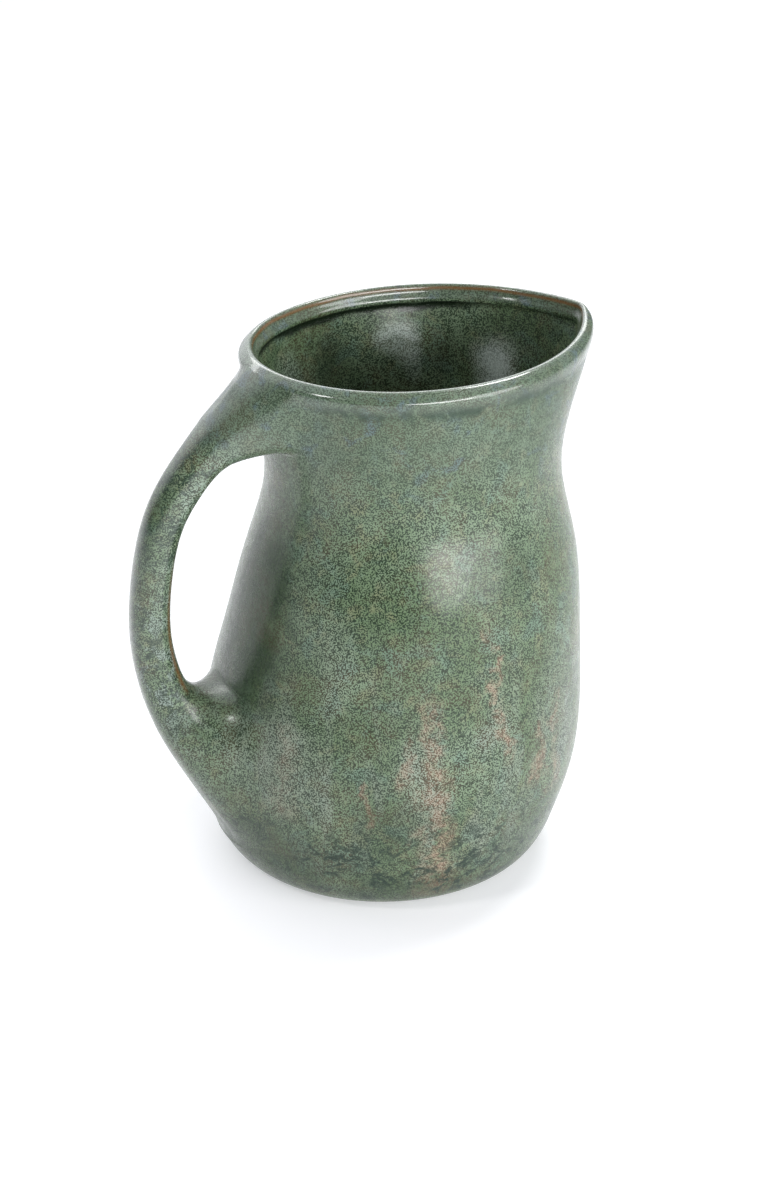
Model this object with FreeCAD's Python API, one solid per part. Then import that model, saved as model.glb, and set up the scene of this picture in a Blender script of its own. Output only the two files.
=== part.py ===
"""Ceramic pitcher: a hand-formed stoneware jug, pear-shaped, with a pinched spout and a pulled handle.

The frame: +Z is up, +X points to the spout and -X to the handle. The origin is on the table, at the
centre of the foot ring. All sizes are millimetres.

The pitcher is one fired piece made of seven pieces of clay that a potter joins with slip, and each is a
solid of its own here. The floor and its foot ring are turned. The wall is a thin shell that leans towards
the spout as it rises. The rim is a thicker band with a bead inside, drawn out into the spout. The handle
is a grip between two flared roots, one on the rim and neck and the other low on the belly.
"""

import FreeCAD
import Part

import math
import os

from FreeCAD import Vector

# ---- the vessel ----
RIM_HEIGHT = 200.0  # top of the rim, away from the spout
SPOUT_LIFT = 3.0  # how far the spout's tip stands above that
WALL = 5.0  # thickness of the wall
RIM_BEAD = 1.6  # how far the rim's bead stands inside the wall
RIM_JOINT = 191.5  # height at which the rim sits on the wall
RIM_OUTER_ROUND = 2.8  # rounding of the rim's outer top edge, over which the rim slopes away
RIM_INNER_ROUND = 1.0

# Height, outside half-length along X and centre of the section, from the heel to the mouth.
STATIONS = [
    (14.0, 65.6, 0.4),
    (32.0, 70.1, 1.7),
    (58.0, 70.9, 4.1),
    (90.0, 66.4, 8.8),
    (120.0, 61.1, 11.8),
    (148.0, 54.5, 12.6),
    (170.0, 55.4, 12.1),
    (188.0, 58.2, 11.3),
    (206.0, 61.2, 10.4),
]

# ---- the mouth, which turns from a round neck into a pointed oval ----
NECK = 135.0  # the sections are circles up to here
MOUTH_ASPECT = 0.85  # width over length at the rim
SPOUT_PULL = 11.0  # how far the spout is drawn out of the oval
SPOUT_SPREAD = 0.59  # how far round the spout's sides reach, in radians
SPOUT_GROWTH = 1.8  # how late the spout grows between neck and rim
OUTER_CREASE = 0.12  # rounding of the spout's tip, in radians
INNER_CREASE = 0.06
SPOUT_THINNING = 0.4  # share of its thickness that the clay loses at the spout's tip
SPOUT_TIP = 82.0  # where the tip stands along X
RISE_LENGTH = 45.0  # the rim starts to rise this far behind the tip
RISE_BEND = 18.0  # and this far behind it has risen by a share of the lift
RISE_SHARE = 0.35
TIP_SLOPE = 3.0  # run over rise at the tip

# ---- the floor ----
HEEL = STATIONS[0][0]  # the floor piece ends here, and the wall begins
HEEL_RADIUS = STATIONS[0][1]
FOOT_RADIUS = 54.0
FOOT_WIDTH = 7.0
FOOT_HEIGHT = 1.5
HEEL_EDGE = 57.0  # radius of the heel's lower edge, which overhangs the foot ring
FLOOR_TOP = 8.5  # inside of the pitcher
FLOOR_RADIUS = 51.0  # flat part of the inside
# How the heel's outer and inner curves leave their start and reach their end, as X and Z.
OUTER_HEEL_WAYS = ((12.0, 6.0), (5.0, 15.0))
INNER_HEEL_WAYS = ((-2.5, -6.0), (-14.0, 0.0))

# ---- the handle: outer edge, inner edge and half-width at each station, in the plane Y = 0 ----
HANDLE = [
    ((-30.0, 198.0), (-30.0, 160.0), 27.0),
    ((-46.0, 197.4), (-43.0, 164.4), 24.0),
    ((-58.4, 188.6), (-52.4, 167.0), 15.5),
    ((-69.2, 177.3), (-62.0, 162.6), 10.2),
    ((-82.4, 161.0), (-71.4, 151.2), 8.4),
    ((-92.2, 139.6), (-78.6, 135.4), 7.8),
    ((-97.0, 108.0), (-82.4, 108.0), 7.8),
    ((-95.2, 84.0), (-80.2, 88.6), 8.2),
    ((-90.8, 67.0), (-76.2, 79.0), 10.2),
    ((-83.8, 48.6), (-69.4, 74.0), 14.2),
    ((-73.8, 29.0), (-60.0, 71.6), 18.4),
    ((-58.0, 12.0), (-46.0, 70.0), 21.0),
]
UPPER_SPLIT = 3  # the station where the upper root ends and the grip begins
LOWER_SPLIT = 8
SECTION_POWER = 2.3  # 2 is an ellipse, more is squarer

# ---- how the curves are drawn ----
RING_POINTS = 56  # points on each section of the vessel
CROWDING = 0.6  # how much they crowd towards the spout, where the outline turns most
HANDLE_POINTS = 24
RIM_STATION = 4  # the first station that the rim's inside is drawn through
TOP_BAND = 0.5  # an edge this near the rim's top belongs to it
ON_SKIN = 0.05  # an edge this near a skin lies on it
REACH = 300.0  # larger than the pitcher


def smooth_step(value, low, high):
    """0 below low, 1 above high, and a smooth rise between them."""
    t = min(1.0, max(0.0, (value - low) / (high - low)))
    return t * t * (3.0 - 2.0 * t)


def closed_curve(points):
    """A smooth closed curve through the points."""
    curve = Part.BSplineCurve()
    curve.interpolate(Points=points, PeriodicFlag=True)
    return curve


def section(z, half_length, centre, inset, crease):
    """The vessel's outline at height z: an oval about the centre, plus a ridge that makes the spout."""
    grown = smooth_step(z, NECK, RIM_HEIGHT)
    half_width = half_length * (1.0 - (1.0 - MOUTH_ASPECT) * grown)
    points = []
    for i in range(RING_POINTS):
        turn = 2.0 * math.pi * i / RING_POINTS
        angle = turn - CROWDING * math.sin(turn)
        signed = math.remainder(angle, 2.0 * math.pi)
        ridge = math.exp(-(math.hypot(signed, crease) - crease) / SPOUT_SPREAD)
        depth = inset * (1.0 - SPOUT_THINNING * grown * ridge)
        a, b = half_length - depth, half_width - depth
        oval = a * b / math.hypot(b * math.cos(angle), a * math.sin(angle))
        r = oval + SPOUT_PULL * grown**SPOUT_GROWTH * ridge
        points.append(Vector(centre + r * math.cos(angle), r * math.sin(angle), z))
    return closed_curve(points)


def loft(stations, inset, crease):
    """A solid through the sections at the stations, each smaller by the inset."""
    curves = [section(z, r, c, inset, crease) for z, r, c in stations]
    return Part.makeLoft([Part.Wire([c.toShape()]) for c in curves], True)


def between(low, high):
    """A block that holds everything between two heights."""
    return Part.makeBox(2 * REACH, 2 * REACH, high - low, Vector(-REACH, -REACH, low))


def above_the_rim():
    """Everything above the rim's top, which is level and rises in a curve to the spout's tip."""
    foot = Vector(SPOUT_TIP - RISE_LENGTH, 0, RIM_HEIGHT)
    bend = Vector(SPOUT_TIP - RISE_BEND, 0, RIM_HEIGHT + RISE_SHARE * SPOUT_LIFT)
    crest = Vector(SPOUT_TIP, 0, RIM_HEIGHT + SPOUT_LIFT)
    level, climbing = Vector(1, 0, 0), Vector(TIP_SLOPE, 0, 1)
    rise = Part.BSplineCurve()
    rise.interpolate(Points=[foot, bend, crest], InitialTangent=level, FinalTangent=climbing)
    corners = [
        Vector(REACH, 0, crest.z + (REACH - crest.x) / TIP_SLOPE),
        Vector(REACH, 0, 2 * REACH),
        Vector(-REACH, 0, 2 * REACH),
        Vector(-REACH, 0, RIM_HEIGHT),
    ]
    runs = Part.makePolygon([crest, *corners, foot])
    face = Part.Face(Part.Wire([rise.toShape(), *runs.Edges]))
    face.translate(Vector(0, -REACH, 0))
    return face.extrude(Vector(0, 2 * REACH, 0))


def heel_curve(start, end, ways):
    """The rounded heel in the XZ plane, leaving start and reaching end in the given directions."""
    leaving, reaching = (Vector(x, 0, z) for x, z in ways)
    curve = Part.BSplineCurve()
    curve.interpolate(Points=[start, end], InitialTangent=leaving, FinalTangent=reaching)
    return curve.toShape()


def floor():
    """The turned floor: a slab with a rounded heel outside and a rounded corner inside."""
    outer_foot = Vector(HEEL_EDGE, 0, FOOT_HEIGHT)
    outer_heel = Vector(HEEL_RADIUS, 0, HEEL)
    inner_heel = Vector(HEEL_RADIUS - WALL, 0, HEEL)
    inner_floor = Vector(FLOOR_RADIUS, 0, FLOOR_TOP)
    outside = heel_curve(outer_foot, outer_heel, OUTER_HEEL_WAYS)
    inside = heel_curve(inner_heel, inner_floor, INNER_HEEL_WAYS)
    middle = [Vector(0, 0, FLOOR_TOP), Vector(0, 0, FOOT_HEIGHT)]
    runs = Part.makePolygon([inner_floor, *middle, outer_foot]).Edges
    joint = Part.makeLine(outer_heel, inner_heel)
    face = Part.Face(Part.Wire([outside, joint, inside, *runs]))
    return face.revolve(Vector(0, 0, 0), Vector(0, 0, 1), 360)


def foot_ring():
    """The unglazed ring that the pitcher stands on."""
    outer = Part.makeCylinder(FOOT_RADIUS, FOOT_HEIGHT)
    return outer.cut(Part.makeCylinder(FOOT_RADIUS - FOOT_WIDTH, FOOT_HEIGHT))


def vessel_wall(outside):
    """The shell between the heel and the rim."""
    shell = outside.cut(loft(STATIONS, WALL, INNER_CREASE))
    return shell.common(between(HEEL, RIM_JOINT))


def top_edges(band, skin):
    """The rim's top edges that lie on a skin."""
    found = []
    for edge in band.Edges:
        middle = Part.Vertex(edge.valueAt((edge.FirstParameter + edge.LastParameter) / 2))
        near = skin.Shells[0].distToShape(middle)[0] < ON_SKIN
        if near and edge.BoundBox.ZMin > RIM_HEIGHT - TOP_BAND:
            found.append(edge)
    return found


def rim(outside):
    """The rim's band: the wall made thicker by the bead. Its top slopes away outside and is rounded inside."""
    inside = loft(STATIONS[RIM_STATION:], WALL + RIM_BEAD, INNER_CREASE)
    band = outside.cut(inside)
    band = band.common(between(RIM_JOINT, RIM_HEIGHT + 2 * SPOUT_LIFT)).cut(above_the_rim())
    band = band.makeFillet(RIM_OUTER_ROUND, top_edges(band, outside))
    return band.makeFillet(RIM_INNER_ROUND, top_edges(band, inside))


def handle_section(outer, inner, half_width):
    """A rounded section of the handle, as deep as from the outer to the inner edge."""
    outer, inner = Vector(outer[0], 0, outer[1]), Vector(inner[0], 0, inner[1])
    middle, deep = (outer + inner) / 2, (outer - inner) / 2
    wide = Vector(0, half_width, 0)
    points = []
    for i in range(HANDLE_POINTS):
        c, s = (f(2.0 * math.pi * i / HANDLE_POINTS) for f in (math.cos, math.sin))
        grow = (abs(c) ** SECTION_POWER + abs(s) ** SECTION_POWER) ** (-1.0 / SECTION_POWER)
        points.append(middle + deep * (c * grow) + wide * (s * grow))
    return closed_curve(points)


def beyond(station, side):
    """A block with what lies past a station of the handle: side -1 is towards the rim, 1 towards the belly."""
    (xo, zo), (xi, zi), _ = HANDLE[station]
    across = Vector(xo - xi, 0, zo - zi).normalize()
    along = Vector(0, 1, 0).cross(across) * -side
    block = Part.makeBox(2 * REACH, 2 * REACH, REACH, Vector(-REACH, -REACH, 0))
    block.Placement = FreeCAD.Placement(
        Vector((xo + xi) / 2, 0, (zo + zi) / 2), FreeCAD.Rotation(Vector(0, 0, 1), along)
    )
    return block


def largest(shape):
    """The biggest solid of a shape, without the slivers that trimming leaves."""
    return max(shape.Solids, key=lambda s: s.Volume)


def handle(outside):
    """The whole handle, trimmed to the vessel and parted into root, grip and root."""
    curves = [handle_section(*s) for s in HANDLE]
    skin = Part.BSplineSurface()
    skin.buildFromNSections(curves)
    ends = [Part.Face(Part.Wire([c.toShape()])) for c in (curves[0], curves[-1])]
    shell = Part.makeShell([skin.toShape(), *ends])
    shell.sewShape()
    whole = largest(Part.Solid(shell).cut(outside))
    upper, lower = beyond(UPPER_SPLIT, -1), beyond(LOWER_SPLIT, 1)
    return {
        "handle_upper_root": whole.common(upper),
        "handle_grip": whole.cut(upper).cut(lower),
        "handle_lower_root": whole.common(lower),
    }


def main():
    outside = loft(STATIONS, 0.0, OUTER_CREASE)
    parts = {
        "floor": floor(),
        "foot_ring": foot_ring(),
        "vessel_wall": vessel_wall(outside),
        "rim": rim(outside),
    }
    body = outside.common(between(HEEL, RIM_HEIGHT + 2 * SPOUT_LIFT)).fuse(parts["floor"])
    parts.update(handle(body))
    os.makedirs("parts", exist_ok=True)
    for name, shape in parts.items():
        largest(shape).exportStep(f"parts/{name}.step")


main()
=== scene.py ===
import math

import bpy
import numpy as np
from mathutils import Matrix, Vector


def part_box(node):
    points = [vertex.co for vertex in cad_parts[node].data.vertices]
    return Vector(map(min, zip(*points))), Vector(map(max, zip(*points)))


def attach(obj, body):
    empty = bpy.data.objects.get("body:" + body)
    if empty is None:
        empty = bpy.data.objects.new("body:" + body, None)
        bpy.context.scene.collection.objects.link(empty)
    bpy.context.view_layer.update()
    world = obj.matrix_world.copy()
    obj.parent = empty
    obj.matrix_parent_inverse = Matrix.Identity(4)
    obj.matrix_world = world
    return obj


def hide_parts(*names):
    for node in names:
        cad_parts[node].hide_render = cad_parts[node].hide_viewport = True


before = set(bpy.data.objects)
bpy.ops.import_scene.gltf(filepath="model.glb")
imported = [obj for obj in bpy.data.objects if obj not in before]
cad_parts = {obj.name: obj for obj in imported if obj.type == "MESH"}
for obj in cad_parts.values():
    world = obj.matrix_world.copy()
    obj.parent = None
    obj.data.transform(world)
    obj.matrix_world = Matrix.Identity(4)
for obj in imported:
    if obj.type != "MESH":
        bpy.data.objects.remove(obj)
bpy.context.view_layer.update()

# A hand-formed stoneware pitcher: one glazed body, a pulled handle and a bare clay foot ring.
# Shapes are worked out in millimetres, +Z up, +X to the spout, with the origin under the foot's
# centre.
# Angles go round the body from +X towards +Y, so the handle stands at pi.

MM = 0.001


def cad_mm(node):
    """The lowest and highest corner of a node of the frame, in millimetres."""
    return [np.array(corner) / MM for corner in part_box(node)]


# ---- driving sizes, read from the frame ----
FOOT_TOP = cad_mm("foot_ring")[1][2]
FOOT_RADIUS = cad_mm("foot_ring")[1][0]
HEEL = cad_mm("floor")[1][2]
SPOUT_RISE = 2.2  # how far the spout stands over the rim's level part
RIM_TOP = cad_mm("rim")[1][2] - SPOUT_RISE

# ---- the body ----
# Height, outside half-length and centre of the body's sections, from heel to mouth.
STATIONS = np.array([
    (14.0, 65.6, 0.4),
    (32.0, 70.1, 1.7),
    (58.0, 70.9, 4.1),
    (90.0, 66.4, 8.8),
    (120.0, 61.1, 11.8),
    (148.0, 54.5, 12.6),
    (170.0, 55.4, 12.1),
    (188.0, 58.2, 11.3),
    (206.0, 61.2, 10.4),
])
NECK = 135.0
MOUTH = 200.0
MOUTH_ASPECT = 0.85
SPOUT_PULL = 11.0
SPOUT_SPREAD = 0.59
SPOUT_GROWTH = 1.8
SPOUT_LIFT = 3.0
SPOUT_THINNING = 0.4
OUTER_CREASE = 0.11  # how softly the spout's ridge turns, in radians, outside and inside
INNER_CREASE = 0.02
BACK_THINNING = 0.25
BACK_LIFT = 1.6
HANDLE_END_SWELL = 1.8
HANDLE_END_ANGLE = 2.83
HANDLE_END_SPREAD = 0.5
SKIN_RADIUS = 40.0  # dents and swellings reach their full depth this far from the body's axis
WALL = 5.0
FLOOR_TOP = 8.5
FLOOR_RADIUS = 51.0
FOOT_WIDTH = 7.0
FOOT_WEAR = 0.7
FOOT_OVERLAP = 1.2
HEEL_EDGE = FOOT_RADIUS + 3.0
INSIDE_DEPTH = 4.5  # a point of the section deeper than this is inside the mouth

# The rim in section: depth in from the outer wall, and height over the rim's top.
RIM_SECTION = np.array([
    (0.00, -13.0),
    (0.00, -9.5),
    (-0.30, -7.0),
    (-0.45, -5.0),
    (-0.15, -3.3),
    (0.80, -1.9),
    (2.20, -0.9),
    (3.30, -0.2),
    (4.30, 0.0),
    (5.15, -0.3),
    (5.60, -1.1),
    (5.65, -2.1),
    (5.85, -3.0),
    (6.35, -3.9),
    (6.75, -4.9),
    (6.60, -5.9),
    (5.80, -6.6),
    (5.05, -7.1),
    (4.90, -9.0),
    (5.00, -14.0),
])

# Soft dents and swellings left by the potter's hands: angle in degrees, height, spread round,
# spread up and depth, which is less than 0 for a swelling.
HAND_MARKS = [
    (-97.0, 146.0, 17.0, 14.0, 0.9),
    (-97.0, 112.0, 24.0, 20.0, -0.8),
    (-140.0, 118.0, 14.0, 34.0, -0.9),
    (-128.0, 84.0, 16.0, 24.0, 0.7),
    (-60.0, 100.0, 20.0, 30.0, -0.6),
    (-50.0, 152.0, 18.0, 10.0, 0.6),
    (-160.0, 100.0, 14.0, 26.0, 0.6),
    (70.0, 120.0, 22.0, 26.0, -0.8),
    (112.0, 150.0, 20.0, 18.0, 0.8),
    (40.0, 80.0, 20.0, 24.0, 0.7),
    (130.0, 80.0, 18.0, 26.0, -0.7),
    (77.0, 181.0, 12.0, 8.0, 1.9),
    (66.0, 172.0, 7.0, 12.0, 1.2),
    (27.0, 168.0, 8.0, 10.0, 2.2),
    (9.0, 166.0, 7.0, 16.0, -1.2),
    (33.0, 176.0, 12.0, 6.0, 0.8),
    (54.0, 172.0, 9.0, 13.0, -1.4),
    (108.0, 176.0, 9.0, 12.0, -1.2),
    (134.0, 172.0, 12.0, 10.0, 0.5),
    (0.0, 120.0, 26.0, 20.0, -0.6),
]

# ---- the handle, in the plane Y = 0: outer edge, inner edge and half-width ----
HANDLE = np.array([
    (-58.4, 188.6, -52.4, 167.0, 15.5),
    (-69.2, 177.3, -62.0, 162.6, 10.2),
    (-82.4, 161.0, -71.4, 151.2, 8.4),
    (-92.2, 139.6, -78.6, 135.4, 7.8),
    (-97.0, 108.0, -82.4, 108.0, 7.8),
    (-95.2, 84.0, -80.2, 88.6, 8.2),
    (-90.8, 67.0, -76.2, 79.0, 10.2),
    (-83.8, 48.6, -69.4, 74.0, 14.2),
])
SECTION_POWER = 2.3
GRIP_START, GRIP_END = 0.75, 6.35  # the grip's ends, counted in stations

# Each root's place on the body: its middle, its reach on the handle's outer and inner side, to
# front and to back, and how far it drops towards the back. Then how stiffly it leaves the grip and
# lands outside and inside.
UPPER_SPOT = (-14.0, 10.5, -20.5, 27.0, 19.0, 9.0)
LOWER_SPOT = (-156.0, -34.0, 30.0, 24.0, 24.0, 0.0)
UPPER_STIFFNESS = (0.5, 0.45, 0.6)
LOWER_STIFFNESS = (1.0, 0.3, 0.7)
ROOT_POWER = 3
ROOT_RADIUS = 50.0  # turns a distance round the body into an angle
ROOT_BURIED = 2.0  # how far a root's last ring goes in under the skin

# ---- where the glaze changes, by level over the rim's top: middle and spread ----
RUST_LEVEL, RUST_SPREAD = -1.3, 0.55
# the pool lies in the undercut: glaze pools there, and its colour is painted dark as shade
POOL_SHADE_LEVEL, POOL_SHADE_SPREAD, POOL_SHADE_DEPTH = -7.4, 1.5, 6.4
BAND_LEVEL, BAND_SPREAD = -7.7, 2.7

# Lines down the grip: turn round its section and spread. Then stretches of it: where each mark
# rises and falls, as shares of the way down.
RUST_LINE = (math.pi + 0.75, 0.14)
# Two of these lines carry painted light and shade: a painted shade near the grip's outer edge and a
# painted light on its front face.
PAINTED_SHADE_EDGE = (-0.3, 0.65)
PAINTED_LIGHT_SIDE = (-2.0, 0.6)
GRIP_STRETCH = (0.12, 0.25, 0.72, 0.92)
RUST_STRETCH = (0.4, 0.55, 0.7, 0.78)
UPPER_STRETCH = (0.1, 0.2, 0.45, 0.7)

# ---- how finely the skins are divided ----
BODY_COLUMNS = 320
CROWDING = 0.55
UNDERSIDE_ROWS = 12
HEEL_ROWS = 18
WALL_ROWS = 114
RIM_ROWS = 64
RIM_STEPS = 400  # for measuring along the rim's section
INNER_WALL_ROWS = 84
HANDLE_COLUMNS = 96
GRIP_ROWS = 150
UPPER_ROOT_ROWS = 40
LOWER_ROOT_ROWS = 44
FOOT_COLUMNS = 256
FOOT_EDGE_ROWS = 7


# ---- curves ----


def smooth_through(x, knots, values):
    """A natural cubic spline: one cubic between each two knots, with slope and bend running on
    across them. The bends at the knots solve one equation each, and are 0 at the two ends."""
    step = np.diff(knots)
    count = len(knots)
    system = np.eye(count)
    load = np.zeros(count)
    inner = np.arange(1, count - 1)
    system[inner, inner - 1] = step[:-1]
    system[inner, inner] = 2 * (step[:-1] + step[1:])
    system[inner, inner + 1] = step[1:]
    load[1:-1] = 6 * np.diff(np.diff(values) / step)
    bend = np.linalg.solve(system, load)
    i = np.clip(np.searchsorted(knots, x) - 1, 0, count - 2)
    a = (knots[i + 1] - x) / step[i]
    b = (x - knots[i]) / step[i]
    curved = ((a**3 - a) * bend[i] + (b**3 - b) * bend[i + 1]) * step[i] ** 2 / 6
    return a * values[i] + b * values[i + 1] + curved


def smooth_line(points, rows):
    """A smooth line through points, in even steps along it: each coordinate is a spline of the
    length."""
    points = np.asarray(points, float)
    length = np.concatenate([[0], np.cumsum(np.linalg.norm(np.diff(points, axis=0), axis=1))])
    at = np.linspace(0, length[-1], rows)
    return np.stack([smooth_through(at, length, column) for column in points.T], axis=1)


def smooth_step(value, low, high):
    """0 below low, 1 above high, and t*t*(3 - 2t) between them."""
    t = np.clip((value - low) / (high - low), 0, 1)
    return t * t * (3 - 2 * t)


def bell(value, middle, spread):
    """1 at the middle and exp(-((value - middle) / spread)^2) away from it."""
    return np.exp(-(((value - middle) / spread) ** 2))


def hermite(t, start, end, leave, arrive):
    """The cubic that leaves start along one vector and reaches end along another, as t goes from 0
    to 1."""
    t2, t3 = t * t, t * t * t
    ends = (2 * t3 - 3 * t2 + 1) * start + (3 * t2 - 2 * t3) * end
    return ends + (t3 - 2 * t2 + t) * leave + (t3 - t2) * arrive


def turned(angle, centre):
    """An angle's difference from a centre, kept between -pi and pi."""
    return (angle - centre + math.pi) % (2 * math.pi) - math.pi


# ---- the body's surface ----


def hand_marks(angle, height):
    """The sum of soft round dents and swellings, each depth * exp(-(angle/a)^2 - (height/h)^2),
    and of two slow waves. It fades at foot and rim."""
    total = np.zeros(np.broadcast(angle, height).shape)
    for centre, level, round_spread, up_spread, depth in HAND_MARKS:
        off = turned(angle, math.radians(centre)) / math.radians(round_spread)
        up = (height - level) / up_spread
        total = total - depth * np.exp(-(off**2) - up**2)
    slow = 0.28 * np.sin(3 * angle + height / 19) + 0.2 * np.sin(5 * angle - height / 13 + 1)
    fade = smooth_step(height, 10, 40) * smooth_step(RIM_TOP - height, 0, 18)
    return (total + slow) * fade


def body_point(height, depth, angle):
    """The body's skin. At each height it is the oval a*b/hypot(b cos, a sin) with the spout's
    ridge added, which fades round the mouth as exp(-angle). Depth goes in from the outer wall, and
    the wall thins at the spout and at the mouth's far side, where the rim also stands a little
    higher. The spout lifts the skin as it grows, and the rim swells a little beside the handle's
    upper root."""
    level = np.maximum(height, HEEL)
    half_length = smooth_through(level, STATIONS[:, 0], STATIONS[:, 1])
    centre = smooth_through(level, STATIONS[:, 0], STATIONS[:, 2])
    grown = smooth_step(height, NECK, MOUTH)
    crease = OUTER_CREASE + (INNER_CREASE - OUTER_CREASE) * smooth_step(depth, 1.0, INSIDE_DEPTH)
    ridge = np.exp(-(np.hypot(turned(angle, 0.0), crease) - crease) / SPOUT_SPREAD)
    far_side = smooth_step(np.sin(angle), 0.1, 0.9)
    thinning = SPOUT_THINNING * ridge + BACK_THINNING * far_side * (1 - ridge)
    thinned = depth * (1 - grown * thinning)
    a = np.maximum(half_length - thinned, 0.0)
    b = np.maximum(half_length * (1 - (1 - MOUTH_ASPECT) * grown) - thinned, 0.0)
    oval = a * b / np.maximum(np.hypot(b * np.cos(angle), a * np.sin(angle)), 1e-9)
    reach = oval + (SPOUT_PULL * grown**SPOUT_GROWTH) * ridge
    beside_handle = bell(turned(angle, HANDLE_END_ANGLE), 0, HANDLE_END_SPREAD)
    reach = reach + HANDLE_END_SWELL * grown * beside_handle * smooth_step(reach, 0, SKIN_RADIUS)
    reach = reach + hand_marks(angle, height) * smooth_step(reach, 0, SKIN_RADIUS)
    lift = grown * (SPOUT_LIFT * ridge + BACK_LIFT * (0.5 + 0.5 * np.sin(angle)))
    return np.stack([centre + reach * np.cos(angle), reach * np.sin(angle), height + lift], axis=-1)


def body_section():
    """The body's section as rows of height and depth: underside, heel, wall, rim, inner wall and
    floor."""

    def straight(start, end, rows):
        """Rows evenly along a straight line between two points, each a height and a depth."""
        return np.linspace(start, end, rows)

    radius = STATIONS[0, 1]
    under = straight((FOOT_TOP, radius), (FOOT_TOP, radius - HEEL_EDGE + 0.8), UNDERSIDE_ROWS)
    t = np.linspace(0, 1, HEEL_ROWS)[:, None]
    foot, heel = np.array([FOOT_TOP + 0.1, radius - HEEL_EDGE]), np.array([HEEL, 0.0])
    outer_heel = hermite(t, foot, heel, np.array([5, -12]), np.array([15, -5]))
    wall = straight((HEEL, 0), (RIM_TOP + RIM_SECTION[0, 1], 0), WALL_ROWS)
    rim = smooth_line(RIM_SECTION, RIM_ROWS)[:, ::-1] + [RIM_TOP, 0]
    inner = straight((RIM_TOP + RIM_SECTION[-1, 1], WALL), (HEEL, WALL), INNER_WALL_ROWS)
    corner, flat = np.array([HEEL, WALL]), np.array([FLOOR_TOP, radius - FLOOR_RADIUS])
    inner_heel = hermite(t[::2], corner, flat, np.array([-6, 2.5]), np.array([0, 14]))
    floor = straight((FLOOR_TOP, radius - FLOOR_RADIUS), (FLOOR_TOP, radius), UNDERSIDE_ROWS)
    pieces = [under[:-1], outer_heel, wall[1:], rim[1:], inner[1:], inner_heel[1:], floor[1:]]
    return np.concatenate(pieces)


# ---- meshes ----


def skin(name, grid, marks=None, looped=False):
    """A mesh from a grid of points in millimetres, rows by columns. Columns join round. Rows join
    round too when looped, and otherwise the first and last row close on a point at their middle.
    Marks are values on the grid, kept as attributes for the materials."""
    rows, columns = grid.shape[:2]
    ends = [] if looped else [grid[0].mean(axis=0), grid[-1].mean(axis=0)]
    points = np.concatenate([grid.reshape(-1, 3), *[np.atleast_2d(end) for end in ends]]) * MM
    row = np.arange(rows if looped else rows - 1)[:, None] * columns
    above = (row + columns) % (rows * columns)
    column = np.arange(columns)
    beside = (column + 1) % columns
    quads = np.stack([row + column, row + beside, above + beside, above + column], axis=-1)
    faces = quads.reshape(-1, 4).tolist()
    if not looped:
        first, last = rows * columns, rows * columns + 1
        top = (rows - 1) * columns
        faces += np.stack([np.full(columns, first), beside, column], axis=1).tolist()
        faces += np.stack([np.full(columns, last), top + column, top + beside], axis=1).tolist()
    mesh = bpy.data.meshes.new(name)
    mesh.from_pydata(points.tolist(), [], faces)
    mesh.polygons.foreach_set("use_smooth", np.ones(len(faces), bool))
    for mark, values in (marks or {}).items():
        layer = mesh.attributes.new(mark, "FLOAT", "POINT")
        spread = np.broadcast_to(values, (rows, columns))
        tails = [] if looped else [spread[0].mean(), spread[-1].mean()]
        layer.data.foreach_set("value", np.concatenate([spread.ravel(), tails]).astype(np.float32))
    mesh.update()
    made = bpy.data.objects.new(name, mesh)
    bpy.context.scene.collection.objects.link(made)
    return made


def body_angles(columns):
    """Angles round the body, which crowd towards the spout: turn - crowding * sin(turn)."""
    turn = np.linspace(0, 2 * math.pi, columns, endpoint=False)
    return turn - CROWDING * np.sin(turn)


def near_rim(level):
    """1 on the rim and 0 well below it, by the height over the rim's top."""
    return smooth_step(level, -9.0, -5.0)


def make_body():
    """The glazed body: its section carried round. Its marks say where the glaze is thin on the
    rim's inner edge, where it pools in the undercut with painted shade over it, dark in a band
    under the rim, glossy or inside, and where the inside bulges, for a painted highlight, or
    hollows, for painted shade. The edges of the marks wander as a sum of two waves."""
    section = body_section()
    angle = body_angles(BODY_COLUMNS)
    height, depth = section[:, :1], section[:, 1:]
    wander = 0.35 * np.sin(7 * angle) + 0.25 * np.sin(17 * angle + 1)
    level = height - RIM_TOP
    inside = depth > INSIDE_DEPTH
    undercut_pool_shade = bell(level + 1.5 * wander, POOL_SHADE_LEVEL, POOL_SHADE_SPREAD) * inside * (depth < POOL_SHADE_DEPTH)
    off_spout = smooth_step(np.abs(turned(angle, 0.0)), 0.45, 0.9)
    dents = hand_marks(angle, height)
    marks = {
        "thin_glaze": bell(level + 0.4 * wander, RUST_LEVEL, RUST_SPREAD) * inside * (level > -3),
        "undercut_pool_and_shade": np.minimum(1.6 * undercut_pool_shade, 1.0) * off_spout,
        "inside": 1.0 * inside * (level < -5),
        "glossy": near_rim(level),
        "under_rim": bell(level + 1.4 * wander, BAND_LEVEL, BAND_SPREAD) * (depth < 0.5),
        # where the inside bulges, which carries a painted highlight
        "bulge_highlight_inside": np.clip(-dents - 0.4, 0, 2) * inside,
        # where the inside hollows, which carries painted shade
        "hollow_shade_inside": np.clip(dents - 0.3, 0, 1) * inside,
    }
    return skin("glazed_body", body_point(height, depth, angle[None, :]), marks)


# ---- the handle ----


def squared(turn, power):
    """How far a rounded oval stands out from an ellipse: it makes |cos|^p + |sin|^p = 1."""
    return (np.abs(np.cos(turn)) ** power + np.abs(np.sin(turn)) ** power) ** (-1 / power)


def unit(ways):
    """Vectors made one long."""
    return ways / np.linalg.norm(ways, axis=-1, keepdims=True)


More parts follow.
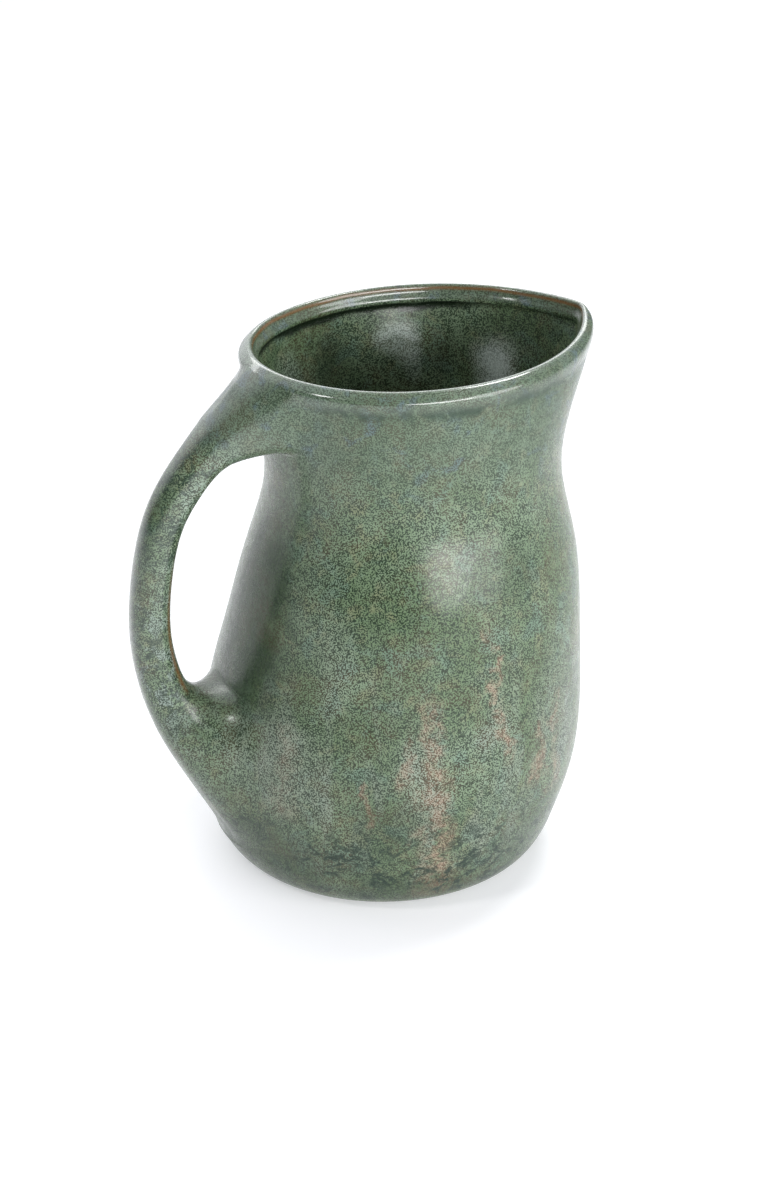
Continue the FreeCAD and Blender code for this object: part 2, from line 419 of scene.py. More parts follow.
def ring(outer_x, outer_z, inner_x, inner_z, half_width, turn):
    """A section of the handle: a rounded oval from the outer to the inner edge."""
    middle = np.stack([(outer_x + inner_x) / 2, 0 * outer_x, (outer_z + inner_z) / 2], axis=-1)
    deep = np.stack([(outer_x - inner_x) / 2, 0 * outer_x, (outer_z - inner_z) / 2], axis=-1)
    grow = squared(turn, SECTION_POWER)
    wide = np.array([0.0, 1.0, 0.0]) * half_width[..., None]
    deep = deep * (np.cos(turn) * grow)[..., None]
    return middle + deep + wide * (np.sin(turn) * grow)[..., None]


def handle_ring(at, turn):
    """The handle's section part way along: each edge and the width is a smooth curve through its
    stations."""
    knots = np.arange(len(HANDLE), dtype=float)
    return ring(*[smooth_through(at, knots, column) for column in HANDLE.T], turn)


def outer_skin(along):
    """Height and depth on the body, by the distance along its section from the rim's crest. Down
    the outside is less than 0."""
    line = smooth_line(RIM_SECTION, RIM_STEPS)
    crest = np.argmax(line[:, 1])
    steps = np.concatenate([[0], np.cumsum(np.linalg.norm(np.diff(line, axis=0), axis=1))])
    steps = steps - steps[crest]
    depth = np.interp(along, steps, line[:, 0], left=0.0)
    on_wall = RIM_TOP + line[0, 1] + (along - steps[0])
    on_rim = RIM_TOP + np.interp(along, steps, line[:, 1])
    return np.where(along < steps[0], on_wall, on_rim), depth


def footprint(turn, scale, middle, outer, inner, front, back, drop):
    """A closed line on the body round the handle's root: a squarish oval in distance up the skin
    and distance round it. It reaches differently on its outer and inner side, and to the front and
    the back, and drops towards the back."""
    grow = squared(turn, ROOT_POWER)
    rise = np.where(np.cos(turn) > 0, outer, inner) * np.abs(np.cos(turn)) * grow
    rise = rise - drop * np.maximum(np.sin(turn), 0.0)
    wide = np.where(np.sin(turn) > 0, back, front) * np.sin(turn) * grow
    height, depth = outer_skin(middle + scale * rise)
    return body_point(height, depth, math.pi - scale * wide / ROOT_RADIUS)


def root(grip_end, way, turn, spot, rows, stiff):
    """The flare of a root: from each point of the grip's end, a cubic that leaves along the handle
    and lands on the body along its skin. It finishes just under the skin, inside the clay. Stiff
    is how far the cubic keeps to its way as it leaves, and as it lands on the handle's outer and
    inner side."""
    land = footprint(turn, 1.0, *spot)
    slide = unit(footprint(turn, 1.02, *spot) - footprint(turn, 0.98, *spot))
    gap = np.linalg.norm(land - grip_end, axis=-1, keepdims=True)
    t = np.linspace(0, 1, rows)[:, None, None]
    landing = (stiff[1] + stiff[2]) / 2 + (stiff[1] - stiff[2]) / 2 * np.cos(turn)[:, None]
    flare = hermite(t, grip_end, land, way * gap * stiff[0], slide * gap * landing)
    buried = footprint(turn, 0.9, *spot)
    return np.concatenate([flare, (land + buried)[None] / 2 + [ROOT_BURIED, 0, 0]])


def make_handle():
    """The pulled handle: a grip of rounded sections between two roots that flare on to the body.
    Its marks go by the share of the way down, from the upper root's end at 0 to the lower one's at
    1, and by the turn round the section, which is 0 on the outer edge and less than 0 in front."""
    turn = np.linspace(0, 2 * math.pi, HANDLE_COLUMNS, endpoint=False)
    at = np.linspace(GRIP_START, GRIP_END, GRIP_ROWS)[:, None]
    grip = handle_ring(at, turn[None, :])
    way_up, way_down = unit(grip[0] - grip[1]), unit(grip[-1] - grip[-2])
    upper = root(grip[0], way_up, turn, UPPER_SPOT, UPPER_ROOT_ROWS, UPPER_STIFFNESS)
    lower = root(grip[-1], way_down, turn, LOWER_SPOT, LOWER_ROOT_ROWS, LOWER_STIFFNESS)
    grid = np.concatenate([upper[::-1], grip[1:-1], lower])
    down = np.linspace(0, 1, len(grid))[:, None]

    def between(rise_from, rise_to, fall_from, fall_to):
        """1 along a stretch of the handle, with a smooth rise before it and a smooth fall after
        it."""
        return smooth_step(down, rise_from, rise_to) * smooth_step(-down, -fall_to, -fall_from)

    def along_line(centre, spread):
        """1 along a line down the handle, at a turn round its section."""
        return bell(turned(turn[None, :], centre), 0, spread)

    rim_gloss = near_rim(grid[..., 2] - RIM_TOP)
    grip_gloss = 0.85 - 0.8 * smooth_step(down, 0.5, 0.85)
    marks = {
        "glossy": rim_gloss + (grip_gloss - rim_gloss) * smooth_step(down, 0.03, 0.15),
        "on_handle": between(*GRIP_STRETCH),
        "thin_glaze": 0.8 * along_line(*RUST_LINE) * between(*RUST_STRETCH),
        # painted shade near the outer edge and painted light on the front of the upper grip
        "painted_shade_edge": along_line(*PAINTED_SHADE_EDGE) * between(*UPPER_STRETCH),
        "painted_light_side": along_line(*PAINTED_LIGHT_SIDE) * between(*UPPER_STRETCH),
    }
    return skin("pulled_handle", grid, marks)


def make_foot():
    """The bare foot ring: a low ring with its two lower edges worn round."""
    high = FOOT_TOP + FOOT_OVERLAP
    outer, inner = FOOT_RADIUS, FOOT_RADIUS - FOOT_WIDTH
    turn = np.linspace(0, math.pi / 2, FOOT_EDGE_ROWS)
    across, up = FOOT_WEAR * (1 - np.cos(turn)), FOOT_WEAR * (1 - np.sin(turn))
    lower_outer = np.stack([outer - across, up], axis=1)
    lower_inner = np.stack([inner + up, across], axis=1)
    section = np.concatenate([[(inner, high), (outer, high)], lower_outer, lower_inner])
    angle = np.linspace(0, 2 * math.pi, FOOT_COLUMNS, endpoint=False)
    reach, height = section[:, :1], section[:, 1:]
    flat = np.broadcast_to(height, (len(section), FOOT_COLUMNS))
    grid = np.stack([reach * np.cos(angle), reach * np.sin(angle), flat], axis=-1)
    return skin("foot_ring_clay", grid[::-1], looped=True)


# ---- materials ----


def feed(tree, made, inputs):
    """Each input of a node either linked to another node's output or set to a value."""
    for key, value in inputs.items():
        if isinstance(value, bpy.types.NodeSocket):
            tree.links.new(value, made.inputs[key])
        else:
            made.inputs[key].default_value = value


def node(tree, kind, inputs=None, **settings):
    """A node with its settings and its inputs."""
    made = tree.nodes.new(kind)
    for key, value in settings.items():
        setattr(made, key, value)
    feed(tree, made, inputs or {})
    return made


def maths(tree, operation, first, second=0.0, clamp=False):
    """A Math node's output."""
    inputs = {0: first, 1: second}
    return node(tree, "ShaderNodeMath", inputs, operation=operation, use_clamp=clamp).outputs[0]


def times(tree, first, second):
    """Two values multiplied."""
    return maths(tree, "MULTIPLY", first, second)


def strongest(tree, shares):
    """The greatest of several values."""
    best = shares[0]
    for share in shares[1:]:
        best = maths(tree, "MAXIMUM", best, share)
    return best


def vector_maths(tree, operation, first, second):
    """A Vector Math node, whose outputs are Vector and Value."""
    return node(tree, "ShaderNodeVectorMath", {0: first, 1: second}, operation=operation).outputs


def ranged(tree, value, low, high, start=0.0, end=1.0):
    """A value taken smoothly from low..high to start..end."""
    inputs = {"Value": value, "From Min": low, "From Max": high, "To Min": start, "To Max": end}
    made = node(tree, "ShaderNodeMapRange", inputs, interpolation_type="SMOOTHSTEP")
    return made.outputs["Result"]


def noise(tree, place, scale, detail=2.0, rough=0.5, distortion=0.0):
    """A Noise Texture's value at a place."""
    inputs = {"Vector": place, "Scale": scale, "Detail": detail}
    inputs.update({"Roughness": rough, "Distortion": distortion})
    return node(tree, "ShaderNodeTexNoise", inputs).outputs["Fac"]


def mixed(tree, share, first, second):
    """One colour laid over another by a share from 0 to 1."""
    made = node(tree, "ShaderNodeMix", data_type="RGBA", blend_type="MIX")
    feed(tree, made, {0: share, 6: first, 7: second})
    return made.outputs[2]


def group(name, inputs, outputs, build):
    """A node group with named sockets: inputs are (name, kind, value), outputs (name, kind)."""
    tree = bpy.data.node_groups.new(name, "ShaderNodeTree")
    for title, kind, value in inputs:
        socket = tree.interface.new_socket(title, in_out="INPUT", socket_type=kind)
        if value is not None:
            socket.default_value = value
    for title, kind in outputs:
        tree.interface.new_socket(title, in_out="OUTPUT", socket_type=kind)
    entry = tree.nodes.new("NodeGroupInput")
    leave = tree.nodes.new("NodeGroupOutput")
    for title, value in build(tree, entry.outputs).items():
        tree.links.new(value, leave.inputs[title])
    return tree


def placed(tree, made, inputs):
    """A node group put into a material, with its inputs, and its outputs returned."""
    spot = node(tree, "ShaderNodeGroup", node_tree=made)
    feed(tree, spot, inputs)
    return spot.outputs


FLOAT, VECTOR = "NodeSocketFloat", "NodeSocketVector"


def swing(tree, value, size):
    """A noise value turned to swing about 0, by up to half the size each way."""
    return times(tree, maths(tree, "SUBTRACT", value, 0.5), size)


def build_speckle(tree, given):
    """Fine grains: noise cut above a level, which a slower noise raises and lowers so that they
    crowd in places."""
    place, per_metre = given["Place"], given["Grains per Metre"]
    fine = noise(tree, place, per_metre, 0.0)
    slow = noise(tree, place, times(tree, per_metre, 0.12), 2.0)
    both = maths(tree, "ADD", fine, swing(tree, slow, 0.25))
    top = maths(tree, "ADD", given["Level"], given["Softness"])
    return {"Grains": ranged(tree, both, given["Level"], top)}


def build_clouds(tree, given):
    """Broad soft patches: noise cut above a level, with its height scaled by a factor."""
    axes = {0: 1.0, 1: 1.0, 2: given["Squash Height"]}
    stretch = node(tree, "ShaderNodeCombineXYZ", axes).outputs[0]
    place = vector_maths(tree, "MULTIPLY", given["Place"], stretch)[0]
    value = noise(tree, place, given["Patches per Metre"], 4.0, 0.55, 0.6)
    top = maths(tree, "ADD", given["Level"], given["Softness"])
    return {"Patches": ranged(tree, value, given["Level"], top)}


def build_run(tree, given):
    """One run of glaze down the body: a band about an angle, between two heights. It leans by so
    much per metre of height, widens downwards from 0.35 of its width, wanders and breaks up."""
    drift = swing(tree, noise(tree, given["Place"], 70.0, 5.0, 0.65), 0.36)
    raised = maths(tree, "SUBTRACT", given["Height"], given["Bottom"])
    leaning = maths(tree, "ADD", given["Angle"], times(tree, raised, given["Lean"]))
    off = maths(tree, "SUBTRACT", leaning, given["Centre"])
    off = maths(tree, "ABSOLUTE", maths(tree, "ADD", off, drift))
    deep = maths(tree, "SUBTRACT", given["Top"], given["Bottom"])
    down = maths(tree, "DIVIDE", maths(tree, "SUBTRACT", given["Top"], given["Height"]), deep)
    widening = maths(tree, "ADD", times(tree, down, 0.7), 0.35)
    width = times(tree, given["Width"], widening)
    band = ranged(tree, maths(tree, "DIVIDE", off, width), 1.1, 0.1)
    ends = times(tree, ranged(tree, down, 0.0, 0.2), ranged(tree, down, 1.05, 0.85))
    broken = ranged(tree, noise(tree, given["Place"], 200.0, 4.0, 0.75), 0.3, 0.66)
    return {"Run": times(tree, times(tree, band, ends), broken)}


def build_patch(tree, given):
    """A soft patch on the body: a ragged oval about an angle and a height, sqrt(round^2 + up^2)."""
    round_off = maths(tree, "SUBTRACT", given["Angle"], given["Centre"])
    round_off = maths(tree, "DIVIDE", round_off, given["Half Angle"])
    up_off = maths(tree, "SUBTRACT", given["Height"], given["Middle"])
    up_off = maths(tree, "DIVIDE", up_off, given["Half Height"])
    squares = [maths(tree, "POWER", off, 2.0) for off in (round_off, up_off)]
    far = maths(tree, "SQRT", maths(tree, "ADD", *squares))
    ragged = swing(tree, noise(tree, given["Place"], 60.0, 4.0, 0.6), 1.4)
    return {"Patch": ranged(tree, maths(tree, "ADD", far, ragged), 1.15, 0.3)}


def build_crawl(tree, given):
    """Thin dark lines where the glaze drew back: the noise's middle level, squashed in height,
    kept in patches by a slow noise and broken by a fine one."""
    lying = vector_maths(tree, "MULTIPLY", given["Place"], (1.0, 1.0, 1.8))[0]
    value = noise(tree, lying, given["Lines per Metre"], 3.0, 0.6, 0.8)
    off = maths(tree, "ABSOLUTE", maths(tree, "SUBTRACT", value, 0.5))
    line = ranged(tree, off, given["Width"], 0.0)
    patch = ranged(tree, noise(tree, given["Place"], 42.0, 2.0, 0.5), 0.37, 0.51)
    broken = ranged(tree, noise(tree, given["Place"], 210.0, 2.0, 0.5), 0.36, 0.53)
    return {"Lines": times(tree, times(tree, line, patch), broken)}


SPECKLE = group(
    "fine_speckle",
    [
        ("Place", VECTOR, None),
        ("Grains per Metre", FLOAT, 900.0),
        ("Level", FLOAT, 0.5),
        ("Softness", FLOAT, 0.08),
    ],
    [("Grains", FLOAT)],
    build_speckle,
)
CLOUDS = group(
    "glaze_clouds",
    [
        ("Place", VECTOR, None),
        ("Patches per Metre", FLOAT, 20.0),
        ("Squash Height", FLOAT, 1.0),
        ("Level", FLOAT, 0.45),
        ("Softness", FLOAT, 0.2),
    ],
    [("Patches", FLOAT)],
    build_clouds,
)
RUN = group(
    "glaze_run",
    [
        ("Place", VECTOR, None),
        ("Angle", FLOAT, 0.0),
        ("Height", FLOAT, 0.0),
        ("Centre", FLOAT, 0.0),
        ("Width", FLOAT, 0.1),
        ("Lean", FLOAT, 0.0),
        ("Top", FLOAT, 0.1),
        ("Bottom", FLOAT, 0.0),
    ],
    [("Run", FLOAT)],
    build_run,
)
PATCH = group(
    "glaze_patch",
    [
        ("Place", VECTOR, None),
        ("Angle", FLOAT, 0.0),
        ("Height", FLOAT, 0.0),
        ("Centre", FLOAT, 0.0),
        ("Middle", FLOAT, 0.0),
        ("Half Angle", FLOAT, 0.2),
        ("Half Height", FLOAT, 0.02),
    ],
    [("Patch", FLOAT)],
    build_patch,
)
CRAWL = group(
    "glaze_crawl",
    [("Place", VECTOR, None), ("Lines per Metre", FLOAT, 70.0), ("Width", FLOAT, 0.02)],
    [("Lines", FLOAT)],
    build_crawl,
)

# Runs of warm glaze down the body: angle and half-width in degrees, lean in degrees per millimetre,
# top, bottom and strength.
RUNS = [
    (-94.0, 9.5, 0.04, 98.0, 2.0, 0.8),
    (-72.0, 4.0, 0.1, 118.0, 58.0, 0.75),
    (-106.0, 3.5, -0.1, 78.0, 56.0, 0.6),
    (-116.0, 3.0, 0.0, 62.0, 40.0, 0.6),
    (-143.0, 9.0, 0.0, 78.0, 38.0, 0.4),
    (-60.0, 4.0, 0.0, 74.0, 44.0, 0.7),
    (-49.0, 4.5, 0.1, 84.0, 34.0, 0.6),
    (30.0, 7.0, 0.05, 90.0, 8.0, 0.8),
    (72.0, 4.0, 0.1, 120.0, 50.0, 0.7),
    (118.0, 8.0, -0.05, 84.0, 6.0, 0.7),
    (150.0, 4.0, 0.0, 70.0, 34.0, 0.6),
]

# Dark and pale patches on the body: angle, height, half-angle, half-height and strength. The first
# two dark ones, beside the handle, are painted shade for the handle's shadow and reflection; the
# other dark ones darken the body in places, most towards the bottom. The pale ones are paler
# glaze, except one painted highlight on the lower root's swell.
DARK_AND_SHADE_PATCHES = [
    # painted shade beside the handle: its shadow and its reflection on the body
    (-170.0, 110.0, 24.0, 54.0, 0.95),
    (176.0, 110.0, 16.0, 54.0, 0.9),
    (-150.0, 20.0, 44.0, 20.0, 0.55),
    (-112.0, 42.0, 14.0, 24.0, 0.35),
    (-100.0, 8.0, 60.0, 14.0, 0.6),
    (-62.0, 22.0, 24.0, 20.0, 0.45),
    (-70.0, 132.0, 20.0, 16.0, 0.3),
    (20.0, 60.0, 20.0, 30.0, 0.4),
    (62.0, 104.0, 22.0, 30.0, 0.4),
    (100.0, 22.0, 40.0, 20.0, 0.3),
    (145.0, 96.0, 18.0, 36.0, 0.5),
]
PALE_AND_HIGHLIGHT_PATCHES = [
    (-142.0, 58.0, 18.0, 22.0, 0.45),
    # a painted highlight on the swell of the handle's lower root
    (-161.0, 64.0, 9.0, 12.0, 0.5),
    (-100.0, 60.0, 9.0, 30.0, 0.3),
    (-128.0, 100.0, 9.0, 26.0, 0.25),
    (-52.0, 70.0, 12.0, 30.0, 0.3),
    (48.0, 58.0, 14.0, 24.0, 0.35),
    (128.0, 60.0, 16.0, 22.0, 0.4),
]


# ---- glaze and clay colours ----
GROUND_DEEP = (0.125, 0.185, 0.1, 1)
GROUND_LIGHT = (0.185, 0.255, 0.165, 1)
OLIVE = (0.215, 0.215, 0.12, 1)
BLUE_GREY = (0.14, 0.235, 0.21, 1)
NECK_BLUE = (0.11, 0.17, 0.21, 1)
NECK_SHADE = (0.095, 0.13, 0.105, 1)
BELLY_GREY = (0.25, 0.29, 0.24, 1)
GRIP_MOTTLE = (0.24, 0.3, 0.28, 1)
GRIP_PAINTED_LIGHT = (0.3, 0.38, 0.31, 1)
GRIP_PAINTED_SHADE = (0.03, 0.055, 0.045, 1)
WARM_RUN = (0.37, 0.27, 0.2, 1)
PALE_GLAZE_AND_HIGHLIGHT = (0.27, 0.32, 0.26, 1)
DARK_GLAZE_AND_SHADE = (0.035, 0.062, 0.028, 1)
GREEN_GRAIN = (0.02, 0.036, 0.02, 1)
BROWN_GRAIN = (0.04, 0.038, 0.018, 1)
RUN_GRAIN = (0.14, 0.08, 0.045, 1)
INSIDE_BULGE_HIGHLIGHT = (0.5, 0.57, 0.53, 1)
HEEL_LINE = (0.01, 0.028, 0.017, 1)
GRIP_VEIN = (0.02, 0.04, 0.028, 1)
RIM_BAND = (0.025, 0.05, 0.03, 1)
INSIDE_SHADE = (0.02, 0.04, 0.015, 1)
HOLLOW_PAINTED_SHADE = (0.01, 0.02, 0.01, 1)
EDGE_RUST = (0.19, 0.08, 0.02, 1)
POOLED_GLAZE_AND_SHADE = (0.004, 0.009, 0.004, 1)
FOOT_EDGE = (0.2, 0.15, 0.1, 1)
CLAY_BROWN = (0.17, 0.12, 0.08, 1)
CLAY_WARM = (0.25, 0.16, 0.09, 1)
GROG = (0.06, 0.04, 0.03, 1)

# The glaze's grains: how many to a metre, the noise level that they start at and its softness.
GLAZE_GRAINS = (2050.0, 0.45, 0.1)


def mark(tree, name):
    """A mark kept on the mesh, read by a material."""
    return node(tree, "ShaderNodeAttribute", attribute_name=name).outputs["Fac"]


def grains(tree, place, per_metre, level, softness):
    """Fine grains at a place."""
    values = {"Place": place, "Grains per Metre": per_metre, "Level": level, "Softness": softness}
    return placed(tree, SPECKLE, values)[0]


def clouds(tree, place, per_metre, level, softness, squash=1.0):
    """Broad soft patches at a place."""
    values = {"Place": place, "Patches per Metre": per_metre, "Level": level, "Softness": softness}
    return placed(tree, CLOUDS, {**values, "Squash Height": squash})[0]


def run_shares(tree, spot):
    """The share of each run of warm glaze. The spot holds the place, angle and height."""
    shares = []
    for centre, width, lean, top, bottom, strength in RUNS:
        values = {
            **spot,
            "Centre": math.radians(centre),
            "Width": math.radians(width),
            "Lean": math.radians(lean) / MM,
            "Top": top * MM,
            "Bottom": bottom * MM,
        }
        shares.append(times(tree, placed(tree, RUN, values)[0], strength))
    return shares


def patch_shares(tree, spot, patches):
    """The share of each deep or pale patch. The spot holds the place, angle and height."""
    shares = []
    for centre, middle, half_angle, half_height, strength in patches:
        values = {
            **spot,
            "Centre": math.radians(centre),
            "Middle": middle * MM,
            "Half Angle": math.radians(half_angle),
            "Half Height": half_height * MM,
        }
        shares.append(times(tree, placed(tree, PATCH, values)[0], strength))
    return shares


def glaze_material():
    """Reactive stoneware glaze: a grey-green ground under fine dark grains, clouded with olive and
    blue-grey, with warm runs, dark drawn-back lines at the heel, rust where it is thin on the rim's
    edge, and bare clay at the foot. Painted shade lies beside the handle, inside, in the inner
    hollows and in the undercut, and painted highlights lie on the inner bulges, the lower root and
    the grip's front."""
    material = bpy.data.materials.new("reactive_glaze")
    material.use_nodes = True
    tree = material.node_tree
    shader = tree.nodes["Principled BSDF"]
    place = node(tree, "ShaderNodeTexCoord").outputs["Object"]
    axes = node(tree, "ShaderNodeSeparateXYZ", {0: place}).outputs
    height = axes[2]
    spot = {"Place": place, "Angle": maths(tree, "ARCTAN2", axes[1], axes[0]), "Height": height}
    handle = mark(tree, "on_handle")
    inside = mark(tree, "inside")
    outside = maths(tree, "SUBTRACT", 1.0, inside, clamp=True)
    body = maths(tree, "SUBTRACT", outside, handle, clamp=True)

    def lay(tint, share, *more):
        """Lays a colour over what is there, by the product of its shares."""
        nonlocal colour
        for value in more:
            share = times(tree, share, value)
        colour = mixed(tree, share, colour, tint)

    def cloudy(per_metre, level, softness, squash=1.0):
        return clouds(tree, place, per_metre, level, softness, squash)

    # the ground, light under the grains
    colour = mixed(tree, cloudy(24.0, 0.4, 0.25), GROUND_DEEP, GROUND_LIGHT)
    lay(OLIVE, cloudy(140.0, 0.5, 0.2), 0.5)
    lay(BLUE_GREY, cloudy(90.0, 0.52, 0.14), 0.35)
    neck = times(tree, ranged(tree, height, 0.15, 0.18), body)
    lay(NECK_BLUE, cloudy(110.0, 0.56, 0.12), neck, 0.8)
    belly = times(tree, ranged(tree, height, 0.12, 0.06), body)
    lay(BELLY_GREY, cloudy(80.0, 0.48, 0.2, 0.25), belly, 0.6)
    lay(GRIP_MOTTLE, cloudy(150.0, 0.5, 0.1), ranged(tree, height, 0.15, 0.09), handle, 0.7)

    # the neck lies darker; on the grip's upper half a painted light lies on its front and a painted
    # shade along its outer edge
    lay(NECK_SHADE, neck, 0.45)
    lay(GRIP_PAINTED_LIGHT, mark(tree, "painted_light_side"), cloudy(90.0, 0.3, 0.4), 0.9)
    lay(GRIP_PAINTED_SHADE, mark(tree, "painted_shade_edge"), cloudy(90.0, 0.3, 0.3), 0.5)

    # warm runs, then pale places, one of them a painted highlight, and dark places, two of them
    # painted shade beside the handle
    runs = times(tree, strongest(tree, run_shares(tree, spot)), body)
    lay(WARM_RUN, runs)
    lay(PALE_GLAZE_AND_HIGHLIGHT, strongest(tree, patch_shares(tree, spot, PALE_AND_HIGHLIGHT_PATCHES)), body)
    lay(DARK_GLAZE_AND_SHADE, strongest(tree, patch_shares(tree, spot, DARK_AND_SHADE_PATCHES)), body)

    # a painted highlight on the bulges inside, then dark grains, browner in patches and fewer on
    # the neck and the highlighted bulges
    cloud = maths(tree, "ADD", 0.55, times(tree, cloudy(130.0, 0.3, 0.3), 0.45))
    raised = times(tree, mark(tree, "bulge_highlight_inside"), cloud)
    lay(INSIDE_BULGE_HIGHLIGHT, raised, 0.85)
    grain = mixed(tree, cloudy(60.0, 0.45, 0.2), GREEN_GRAIN, BROWN_GRAIN)
    grain = mixed(tree, runs, grain, RUN_GRAIN)
    fewer = maths(tree, "ADD", times(tree, neck, 0.2), times(tree, raised, 0.35))
    speckle = grains(tree, place, *GLAZE_GRAINS)
    lay(grain, speckle, maths(tree, "SUBTRACT", 0.95, fewer, clamp=True))

    # drawn-back lines at the heel and along the grip
    crawl = {"Place": place, "Lines per Metre": 70.0, "Width": 0.075}
    heel = times(tree, ranged(tree, height, 0.05, 0.025), body)
    lay(HEEL_LINE, placed(tree, CRAWL, crawl)[0], heel)
    veins = {"Place": place, "Lines per Metre": 120.0, "Width": 0.065}
    lay(GRIP_VEIN, placed(tree, CRAWL, veins)[0], handle, 0.8)

    # the rim and the inside: painted shade inside and in its hollows, rust where the rim's edge is
    # thin, and painted shade over the glaze in the undercut
    lay(RIM_BAND, mark(tree, "under_rim"), cloudy(120.0, 0.35, 0.25), 0.95)
    lay(INSIDE_SHADE, inside, 0.1)
    lay(HOLLOW_PAINTED_SHADE, mark(tree, "hollow_shade_inside"), 0.5)
    lay(EDGE_RUST, mark(tree, "thin_glaze"), 0.85)
    # painted shade over the glaze that pools in the undercut
    lay(POOLED_GLAZE_AND_SHADE, mark(tree, "undercut_pool_and_shade"), 0.95)

    # bare clay below a ragged line at the foot
    edge = swing(tree, noise(tree, place, 60.0, 3.0), 0.003)
    bare = times(tree, ranged(tree, maths(tree, "ADD", height, edge), 0.0034, 0.0026), outside)
    lay(FOOT_EDGE, bare)
    tree.links.new(colour, shader.inputs["Base Color"])

    # a glossy rim and upper grip, a satin body, and a fine ripple
    rough = ranged(tree, noise(tree, place, 340.0, 4.0, 0.6), 0.3, 0.7, 0.22, 0.33)
    rough = maths(tree, "MAXIMUM", rough, times(tree, bare, 0.8))
    tree.links.new(rough, shader.inputs["Roughness"])
    coat = maths(tree, "ADD", times(tree, mark(tree, "glossy"), 0.8), 0.08)
    coat = maths(tree, "SUBTRACT", coat, bare, clamp=True)
    tree.links.new(coat, shader.inputs["Coat Weight"])
    shader.inputs["Coat Roughness"].default_value = 0.09
    shader.inputs["IOR"].default_value = 1.43
    ripple = maths(tree, "ADD", noise(tree, place, 110.0, 3.0, 0.5), times(tree, speckle, 0.1))
    bump = node(tree, "ShaderNodeBump", {"Height": ripple, "Strength": 0.35, "Distance": 0.0006})
    tree.links.new(bump.outputs[0], shader.inputs["Normal"])
    return material


def clay_material():
    """Bare fired clay: buff, with fine grog grains, warmer where the flame caught it, matt."""
    material = bpy.data.materials.new("bare_stoneware")
    material.use_nodes = True
    tree = material.node_tree
    shader = tree.nodes["Principled BSDF"]
    place = node(tree, "ShaderNodeTexCoord").outputs["Object"]
    grog = grains(tree, place, 1100.0, 0.55, 0.08)
    flame = clouds(tree, place, 30.0, 0.4, 0.3)
    colour = mixed(tree, flame, CLAY_BROWN, CLAY_WARM)
    colour = mixed(tree, times(tree, grog, 0.6), colour, GROG)
    tree.links.new(colour, shader.inputs["Base Color"])
    rough = ranged(tree, noise(tree, place, 500.0, 3.0), 0.3, 0.7, 0.75, 0.95)
    tree.links.new(rough, shader.inputs["Roughness"])
    bump = node(tree, "ShaderNodeBump", {"Height": grog, "Strength": 0.4, "Distance": 0.0003})
    tree.links.new(bump.outputs[0], shader.inputs["Normal"])
    return material


# ---- the studio ----


def studio_floor():
    """A plain pale floor, much wider than the pitcher."""
    mesh = bpy.data.meshes.new("studio_floor")
    wide = 6.0
    corners = [(-wide, -wide, 0), (wide, -wide, 0), (wide, wide, 0), (-wide, wide, 0)]
    mesh.from_pydata(corners, [], [(0, 1, 2, 3)])
    floor = bpy.data.objects.new("studio_floor", mesh)
    bpy.context.scene.collection.objects.link(floor)
    material = bpy.data.materials.new("pale_floor")
    material.use_nodes = True
    shader = material.node_tree.nodes["Principled BSDF"]
    shader.inputs["Base Color"].default_value = (0.72, 0.72, 0.73, 1)
    shader.inputs["Roughness"].default_value = 0.85
    shader.inputs["Specular IOR Level"].default_value = 0.1
    shader.inputs["Emission Color"].default_value = (0.95, 0.96, 1.0, 1)
    shader.inputs["Emission Strength"].default_value = 0.4
    mesh.materials.append(material)


MIDDLE = (0, 0, 0.11)
SHOULDER = (0, 0, 0.14)
# Soft lights: name, place, target, width, height and watts, in metres.
LAMPS = [
    ("front_key", (0.75, -1.1, 0.5), MIDDLE, 0.8, 0.8, 8),
    ("right_front", (0.1, -1.24, 0.44), SHOULDER, 0.85, 0.3, 8),
    ("over_left", (-0.8, -0.23, 0.93), MIDDLE, 0.22, 0.22, 2.6),
    ("over_right", (0.5, 0.2, 1.1), MIDDLE, 0.3, 0.3, 5),
    ("rear_strip", (0.1, 0.95, 0.85), MIDDLE, 1.8, 0.22, 4.5),
]


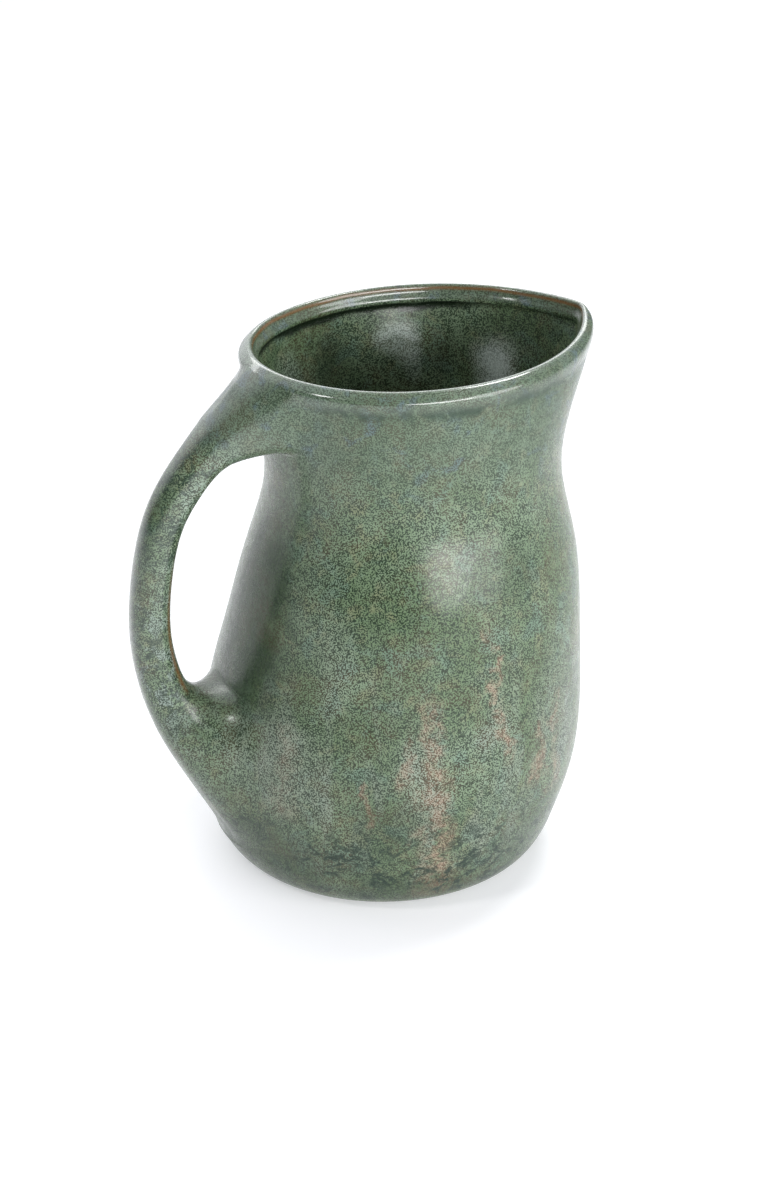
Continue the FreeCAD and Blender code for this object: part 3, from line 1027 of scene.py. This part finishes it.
def soft_light(name, place, target, width, height, watts):
    """A soft light, round or long, that looks at a target."""
    lamp = bpy.data.lights.new(name, "AREA")
    lamp.shape = "ELLIPSE"
    lamp.size, lamp.size_y = width, height
    lamp.energy = watts
    made = bpy.data.objects.new(name, lamp)
    made.location = place
    made.rotation_euler = (Vector(target) - Vector(place)).to_track_quat("-Z", "Y").to_euler()
    bpy.context.scene.collection.objects.link(made)


def studio():
    """A pale room, brighter to the front right and behind, with soft lights."""
    world = bpy.data.worlds.new("pale_room")
    world.use_nodes = True
    tree = world.node_tree
    way = node(tree, "ShaderNodeTexCoord").outputs["Generated"]
    key = Vector((0.62, -0.5, 0.6)).normalized()
    front = vector_maths(tree, "DOT_PRODUCT", way, key)["Value"]
    behind = Vector((-0.12, 0.82, 0.55)).normalized()
    rear = vector_maths(tree, "DOT_PRODUCT", way, behind)["Value"]
    front_light = ranged(tree, front, 0.0, 1.0, 0.04, 0.5)
    rear_light = ranged(tree, rear, 0.5, 0.95, 0.0, 1.5)
    lit = maths(tree, "ADD", front_light, rear_light)
    back = tree.nodes["Background"]
    back.inputs["Color"].default_value = (0.95, 0.96, 1.0, 1)
    tree.links.new(lit, back.inputs["Strength"])
    bpy.context.scene.world = world
    for lamp in LAMPS:
        soft_light(*lamp)
    bpy.context.scene.view_settings.view_transform = "Standard"


def camera():
    """The camera, to the handle's side and above, aimed at the body's middle."""
    lens = bpy.data.cameras.new("camera")
    lens.lens = 80.6
    lens.sensor_width = 36
    lens.shift_x = -0.0148
    lens.shift_y = -0.0069
    lens.clip_end = 30
    made = bpy.data.objects.new("camera", lens)
    place, target = Vector((-0.3278, -0.8246, 0.5534)), Vector((0.0106, 0, 0.1))
    made.location = place
    made.rotation_euler = (target - place).to_track_quat("-Z", "Y").to_euler()
    bpy.context.scene.collection.objects.link(made)
    bpy.context.scene.camera = made


camera()
studio_floor()
studio()

glaze, clay = glaze_material(), clay_material()
body = make_body()
handle = make_handle()
foot = make_foot()
for piece, finish, slot, nodes in (
    (body, glaze, "glaze", ("vessel_wall", "rim", "floor")),
    (handle, glaze, "glaze", ("handle_upper_root", "handle_grip", "handle_lower_root")),
    (foot, clay, "bare_clay", ("foot_ring",)),
):
    piece.data.materials.append(finish)
    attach(piece, "root")
    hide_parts(*nodes)
